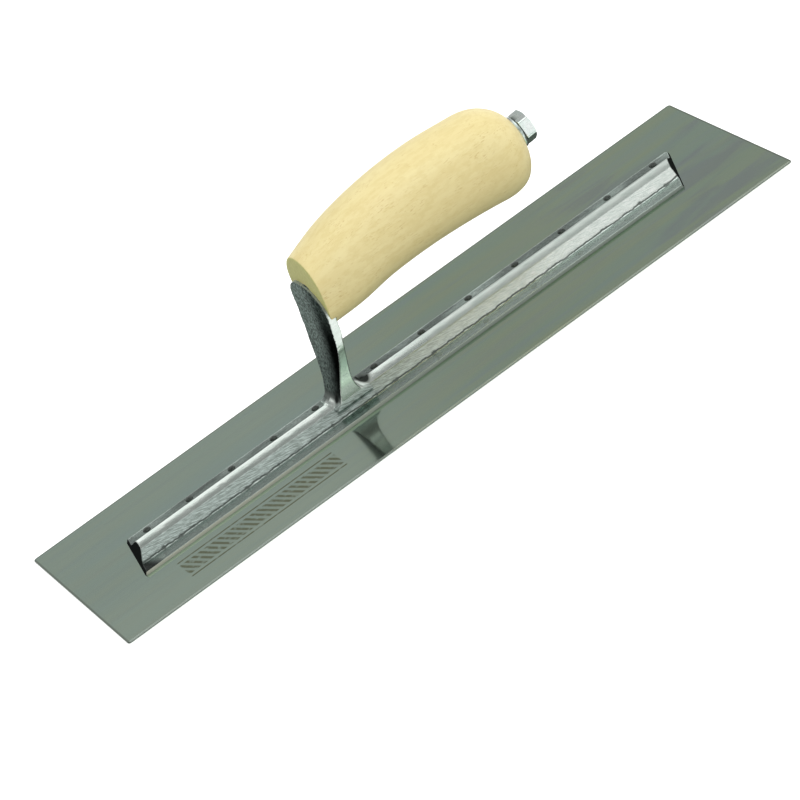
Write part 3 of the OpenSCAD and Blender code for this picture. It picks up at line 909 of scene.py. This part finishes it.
def mounting_material():
    """Cast aluminium, coloured by the zones that shape_surface stores."""
    m = Material("cast_aluminium")
    ends, pocket, toe, ground, top, front, flank, flange, rim, edge, arch = (
        m.attribute(name) for name in ("ends", "pocket", "toe", "ground", "top", "front",
                                       "flank", "flange", "rim", "rear_edge", "arch"))
    x, y, z = m.axis(0), m.axis(1), m.axis(2)
    blot = m.noise(size=(7, 4, 5), detail=4, rough=0.6)
    cast = m.noise(size=1.1, detail=4, rough=0.65)
    # grinding scratches, slanted to the spar
    along = x * 0.966 + y * -0.26
    across = x * 0.26 + (y + z) * 0.9
    slanted = m.add("CombineXYZ", {0: along * (1 / 4.2), 1: across * (1 / 0.62)})
    scratch = m.texture(slanted, detail=4, rough=0.7)
    streak = m.noise(size=(30, 1.1, 1.4), detail=3, rough=0.6)
    patch = m.noise(size=(34, 12, 12), offset=(2, 0, 0), detail=2, rough=0.5)
    worn = x.rise(-45, 60)                       # painted light: brighter towards the screw end; the same ramp also roughens the crown
    base = blot.rise(0.3, 0.7).colours((0.78, 0.89, 0.82), (0.90, 0.98, 0.92))
    base = base.tint(streak.rise(0.45, 0.7) * 0.25, (0.64, 0.71, 0.66))
    # flanges: duller than the rib and brighter towards +X as painted light; the +Y one patchy, and
    # darker close to the rib as painted shade
    far = y.rise(-1, 1)
    dull = worn.between(0.62, 0.80)
    spots = patch.rise(0.40, 0.62)
    dull = far.between(dull, dull * spots.between(0.50, 1.05))
    nook = far * y.fall(9.6, 11.8)
    dull = dull * nook.between(1.0, 0.6)
    dull = dull * cast.rise(0.35, 0.7).between(0.88, 1.08)
    grey = blot.rise(0.3, 0.7).colours((0.80, 0.98, 0.89), (0.90, 1.05, 0.97))
    base = base.tint(flange, grey.dimmed(dull))
    # coarse ground sides: bright scratches over a duller skin, both darker towards -X as painted
    # light
    skin = worn.colours((0.27, 0.325, 0.295), (0.74, 0.82, 0.77))
    bright = worn.colours((0.66, 0.77, 0.73), (0.98, 1.04, 0.98))
    base = base.tint(ground * 0.95, scratch.rise(0.38, 0.64).colours(skin, bright))
    # painted shade: the +Y shoulder of the crown is duller past the shank
    base = base.tint(top * worn * (y.rise(2.4, 3.2) * 0.65), (0.36, 0.41, 0.37))
    # a thin, wandering dark line where the -Y side of the rib runs into the flange: painted shade
    # in the crease
    drift = m.noise(size=(7, INF, INF), offset=(0, 3, 1), detail=2, rough=0.5)
    jag = m.noise(size=(1.5, INF, INF), offset=(4, 3, 1), detail=2, rough=0.6)
    line_y = drift.times_plus(1.7, -9.95)
    line_y = jag.times_plus(0.7, line_y)
    swell = m.noise(size=(5, INF, INF), offset=(9, 1, 2), detail=2, rough=0.5)
    width = swell.rise(0.56, 0.7).times_plus(0.6, 0.42)
    line = (abs(y - line_y) / width).fall(0.35, 1.2)
    line = line * z.fall(BLADE_T + 2.9, BLADE_T + 3.4)
    base = base.tint(line * 0.88, (0.07, 0.085, 0.075))
    # shank's -Y side: painted light, bright near the foot and duller grey with height
    low = flank * y.fall(0, 1) * z.fall(BLADE_T + 32.0, BLADE_T + 33.5)
    climb = z.rise(BLADE_T + 12, BLADE_T + 26)
    base = base.tint(low, climb.colours((1.0, 1.05, 1.0), (0.36, 0.41, 0.385)))
    # shank's -X face: dark and mottled as cast, with painted shade making it darkest at -Y and low
    # down
    mottle = cast.rise(0.36, 0.66).colours((0.03, 0.045, 0.038), (0.20, 0.26, 0.235))
    shade = y.rise(-8.5, 5).between(z.rise(36, 62).between(0.02, 0.55), 1.3)
    shade = shade * z.rise(10, 46).between(0.6, 1.1)
    base = base.tint(front, mottle.dimmed(shade))
    # painted shade at the shank's -X foot
    base = base.tint(toe * 0.85, (0.05, 0.06, 0.054))
    # painted shade along the +X edge of the shank's -Y side
    base = base.tint(edge * 0.85, (0.05, 0.058, 0.053))
    # painted reflection: the arch's narrow edge takes the colour of the wood beside it
    base = base.tint(arch * 0.9, (0.50, 0.485, 0.28))
    # flange rims: matt; the -Y one a painted highlight, cream at the -X end, grey at the other;
    # the +Y one dark as painted shade
    rim_colour = x.rise(-110, 20).colours((0.37, 0.38, 0.315), (0.23, 0.265, 0.235))
    base = base.dimmed(m.attribute("shadow").between(1.0, 0.12))
    base = base.tint(rim * (1.0 - far), rim_colour)
    far_rim = y.rise(15.3, 15.6) * z.fall(BLADE_T + 1.9, BLADE_T + 2.1)
    base = base.tint(far_rim, (0.10, 0.12, 0.105))
    # painted shade in the pockets at the shank's foot
    base = base.tint(pocket * 0.97, (0.014, 0.017, 0.015))
    # painted shade: the sawn end faces near black
    base = base.tint(ends, (0.010, 0.012, 0.011))
    # painted shade for reflected rays: the blade shows the shank darker than it looks directly
    direct = m.add("LightPath", output="Is Camera Ray")
    raised = m.math("MAXIMUM", m.attribute("shank"), z.rise(6.4, 7.6))
    base = base.dimmed((raised * (1.0 - direct)).between(1.0, 0.30))
    # how far each zone is from bare metal
    matt = m.largest(m.largest(ends, pocket), front * y.rise(-7, 3).between(1.0, 0.85),
                     toe * 0.7, arch * 0.85, rim * (1.0 - far) * 0.92)
    rough = cast.times_plus(0.14, 0.17)
    rough = rough + top * worn * 0.20
    rough = ground.times_plus(0.22, rough)
    rough = matt.times_plus(0.35, rough)
    rough = rim.times_plus(0.40, rough)
    rough = m.math("SUBTRACT", rough, (top + flank) * 0.06, clamp=True)
    normal = m.bump(cast, depth=0.03, strength=0.7)
    normal = m.bump(scratch * ground, depth=0.10, strength=0.9, under=normal)
    normal = m.bump(cast * front, depth=0.16, strength=0.9, under=normal)
    m.set(Base_Color=base, Metallic=1.0 - matt, Roughness=rough, Normal=normal,
          Specular_IOR_Level=matt.between(0.5, 0.0))
    return m.material


def rivet_material():
    """Dull steel: dark in the +Y row as painted shade, light in the -Y row and under the blade."""
    m = Material("rivet_steel_dull")
    speck = m.noise(size=0.5, detail=3, rough=0.6)
    y, z = m.axis(1), m.axis(2)
    far = y.rise(0, 1)
    low = z.fall(0.5, 1.2)
    # painted shade on the +Y row
    dark = speck.rise(0.35, 0.65).colours((0.06, 0.07, 0.062), (0.17, 0.20, 0.18))
    light = speck.rise(0.3, 0.7).colours((0.44, 0.53, 0.48), (0.58, 0.68, 0.62))
    colour = far.colours(light, dark)
    colour = colour.tint(low, light)
    m.set(Base_Color=colour, Metallic=1.0, Roughness=speck.times_plus(0.2, 0.34),
          Normal=m.bump(speck, depth=0.03, strength=0.7))
    return m.material


def wood_material():
    """Lacquered wood with its grain along X: soft bands, fine lines, short dark pore dashes."""
    m = Material("hardwood_lacquered")
    end, seat = m.attribute("endgrain"), m.attribute("seat")
    warp = m.noise(size=(60, 16, 16), detail=2, rough=0.5)
    band = m.noise(size=(85, 6.5, 6.5), offset=(4, 2, 1), detail=3, rough=0.55, distortion=0.4)
    line = m.noise(size=(26, 0.75, 0.75), offset=(2, 3, 5), detail=3, rough=0.6)
    pore = m.noise(size=(2.6, 0.42, 0.42), offset=(7, 3, 2), detail=2, rough=0.5)
    cloud = m.noise(size=(9, 5, 5), offset=(1, 1, 9), detail=2, rough=0.5)
    base = m.ramp(band, [(0.25, (0.79, 0.665, 0.315)), (0.5, (0.83, 0.715, 0.355)),
                         (0.75, (0.87, 0.765, 0.405))])
    base = base.tint(line.rise(0.50, 0.74) * 0.16, (0.70, 0.55, 0.24))
    dash = pore.rise(0.57, 0.66) * cloud.rise(0.46, 0.62)
    base = base.tint(dash * 0.55, (0.60, 0.44, 0.16))
    base = base.tint(warp.rise(0.55, 0.75) * 0.10, (0.78, 0.60, 0.33))
    mottle = m.noise(size=(5.5, 2.6, 2.6), offset=(3, 8, 1), detail=4, rough=0.65)
    base = base.tint(mottle.rise(0.42, 0.64) * 0.42, (0.73, 0.60, 0.255))
    # greener end grain at the -X end, a darker seat round the washer
    end_noise = m.noise(size=(0.8, 0.5, 1.6), detail=3, rough=0.6)
    end_colour = end_noise.rise(0.35, 0.7).colours((0.58, 0.575, 0.205), (0.69, 0.685, 0.265))
    base = base.tint(end * 0.95, end_colour)
    base = base.tint(seat * 0.55, (0.50, 0.40, 0.20))
    rough = line.times_plus(0.10, 0.36)
    rough = end.times_plus(0.25, rough)
    normal = m.bump(line, depth=0.02, strength=0.5)
    normal = m.bump(dash, depth=0.03, strength=0.5, under=normal)
    m.set(Base_Color=base, Roughness=rough, Normal=normal, Coat_Weight=0.12,
          Coat_Roughness=0.3, Specular_IOR_Level=0.3)
    return m.material


def zinc_material(name, offset, least_rough):
    """Plated steel, with painted shade where it faces down and in the gaps marked by "shade"."""
    m = Material(name)
    speck = m.noise(size=0.9, offset=offset, detail=4, rough=0.6)
    wash = m.noise(size=5, offset=offset, detail=2, rough=0.5)
    colour = wash.rise(0.3, 0.7).colours((0.84, 0.99, 0.92), (0.94, 1.0, 0.97))
    colour = colour.tint(speck.rise(0.52, 0.75) * 0.18, (0.66, 0.73, 0.70))
    # painted shade where the surface faces down
    colour = colour.tint(m.normal_z().fall(-0.72, -0.30), (0.17, 0.21, 0.19))
    shade = m.attribute("shade")
    colour = colour.tint(shade * 0.93, (0.045, 0.055, 0.05))
    m.set(Base_Color=colour, Metallic=shade.times_plus(-0.8, 1.0),
          Normal=m.bump(speck, depth=0.012, strength=0.6),
          Roughness=speck.times_plus(0.14, least_rough),
          Specular_IOR_Level=shade.between(0.5, 0.05))
    return m.material


def floor_material():
    """White floor: shaded for the camera, an even glow for light that bounces off it."""
    m = Material("studio_floor")
    soft = m.noise(size=900, detail=1, rough=0.5)
    m.set(Base_Color=soft.colours((0.93, 0.93, 0.93), (0.95, 0.95, 0.95)), Roughness=1.0,
          Emission_Color=(1.0, 1.0, 1.0), Emission_Strength=0.42, Specular_IOR_Level=0.0)
    glossy, camera_ray = m.add("LightPath", output=("Is Glossy Ray", "Is Camera Ray"))
    mirrored = m.axis(1).rise(-420, -190).between(0.10, 0.95)    # dim towards -Y
    glow = m.add("Emission", {"Strength": glossy.between(0.50, mirrored)})
    lit = m.add("MixShader", {0: camera_ray, 1: glow, 2: Value(m, m.bsdf.outputs[0])})
    # from below the floor is clear, so that the blade's underside can be looked at
    clear = m.add("BsdfTransparent")
    backfacing = m.add("NewGeometry", output="Backfacing")
    sided = m.add("MixShader", {0: backfacing, 1: lit, 2: clear})
    m.put(sided, m.tree.nodes["Material Output"].inputs["Surface"])
    return m.material


def finish_piece(ob, material, node):
    ob.data.materials.clear()
    ob.data.materials.append(material)
    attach(ob, "root")
    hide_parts(node)


finish_piece(build_blade(), blade_material(), "blade")
finish_piece(build_mounting(), mounting_material(), "mounting")
finish_piece(build_rivets(), rivet_material(), "rivets")
finish_piece(build_handle(), wood_material(), "handle")
finish_piece(build_washer(), zinc_material("zinc_washer", offset=(3, 1, 2), least_rough=0.21),
             "washer")
finish_piece(build_screw(), zinc_material("zinc_screw", offset=(0, 5, 1), least_rough=0.11),
             "handle_bolt")


# ---------------------------------------------------------------- studio (metres)
def build_floor(half=6, z=-0.0004):
    mesh = bpy.data.meshes.new("studio_floor")
    corners = [(-half, -half, z), (half, -half, z), (half, half, z), (-half, half, z)]
    mesh.from_pydata(corners, [], [(0, 1, 2, 3)])
    floor = link_object("studio_floor", mesh)
    mesh.materials.append(floor_material())


def build_world():
    """A soft studio whose brightness depends on direction and on the kind of ray."""
    world = bpy.data.worlds.new("studio")
    scene.world = world
    world.use_nodes = True
    world.node_tree.nodes.clear()
    s = Shader(world.node_tree)

    def blend(share, zero, one):
        return zero * (1.0 - share) + one * share

    dx, dy, dz = s.xyz(s.add("TexCoord", output="Generated"))
    up = s.math("MAXIMUM", dz, 0.0)
    # what metal mirrors: white sweep at the horizon, grey room above it, pale ceiling;
    # stops are (height, brightness), behind the tool (+Y) and before it (-Y)
    back = s.ramp(up, [(0.0, 1.0), (0.30, 0.98), (0.37, 0.66), (0.455, 0.285), (0.56, 0.262),
                       (0.82, 0.24), (0.93, 0.32), (1.0, 0.42)], "EASE")
    fore = s.ramp(up, [(0.0, 1.0), (0.14, 1.0), (0.20, 0.32), (0.30, 0.16), (0.45, 0.26),
                       (0.60, 0.41), (0.72, 0.50), (0.84, 0.61), (0.93, 0.61), (1.0, 0.50)],
                  "EASE")
    mirror = blend(dy.rise(-0.25, 0.2), fore, back)
    mirror = mirror * (1.0 - (dx * -1.0).rise(0.35, 0.9) * 0.72)     # dim towards -X
    # grey below the horizon
    mirror = mirror * dz.rise(-0.3, -0.02).times_plus(0.58, 0.42)
    # a bright ceiling panel towards +X
    panel = dz.rise(0.72, 0.93) * dy.rise(0.34, 0.12) * dx.rise(0.10, 0.27)
    mirror = panel.times_plus(0.72, mirror)
    # a small pale window high behind the tool, for the screw head
    pane = dy.rise(0.42, 0.56) * dy.rise(0.80, 0.66) * (
        dz.rise(0.66, 0.74) * dz.rise(0.90, 0.84) * dx.rise(0.18, 0.24))
    mirror = pane.times_plus(0.40, mirror)
    # what lights matt surfaces: broad overhead glow, stronger from -Y, dimmer towards -X
    glow = dz.rise(0.0, 0.6).times_plus(0.42, 0.86)
    glow = glow * dy.rise(0.1, -0.7).times_plus(0.22, 1.0)
    glow = glow * (1.0 - (dx * -1.0).rise(0.0, 0.9) * 0.55)
    glossy, camera_ray = s.add("LightPath", output=("Is Glossy Ray", "Is Camera Ray"))
    value = blend(glossy, glow, mirror)
    value = blend(camera_ray, value, 1.0)
    grey = s.add("CombineColor", {0: value, 1: value, 2: value})
    s.node("OutputWorld", {"Surface": s.add("Background", {"Color": grey})})


def build_light(at=(0.62, -0.10, 1.05), aim=(0.20, 0, 0.03)):
    light = bpy.data.lights.new("overhead_softbox", "AREA")
    light.shape = "RECTANGLE"
    light.size, light.size_y, light.energy = 0.75, 0.9, 0.45
    ob = link_object("overhead_softbox", light)
    ob.location = at
    ob.rotation_euler = (Vector(aim) - Vector(at)).to_track_quat("-Z", "Y").to_euler()
    ob.visible_camera = False


# the camera's right, down and forward directions, as rows
CAMERA_AXES = np.array([[0.7876771, -0.46385389, -0.40546807],
                        [-0.570745, -0.3015843, -0.76373886],
                        [0.23198044, 0.83299849, -0.50229333]])
# the middle of the blade's top, measured along them from the camera (mm)
BLADE_FROM_CAMERA = np.array([5.27659139, -17.07330462, 1662.26852787])


def build_camera():
    data = bpy.data.cameras.new("view")
    data.sensor_width = 36.0
    data.sensor_fit = "HORIZONTAL"
    data.lens = 173.48337
    data.clip_start, data.clip_end = 0.05, 50
    camera = link_object("view", data)
    right, down, forward = CAMERA_AXES
    place = -CAMERA_AXES.T @ BLADE_FROM_CAMERA + np.array([0, 0, BLADE_T])
    matrix = Matrix.Identity(4)
    for column, vector in enumerate((right, -down, -forward, place * MM)):
        for row in range(3):
            matrix[row][column] = float(vector[row])
    camera.matrix_world = matrix
    scene.camera = camera


build_floor()
build_world()
build_light()
build_camera()
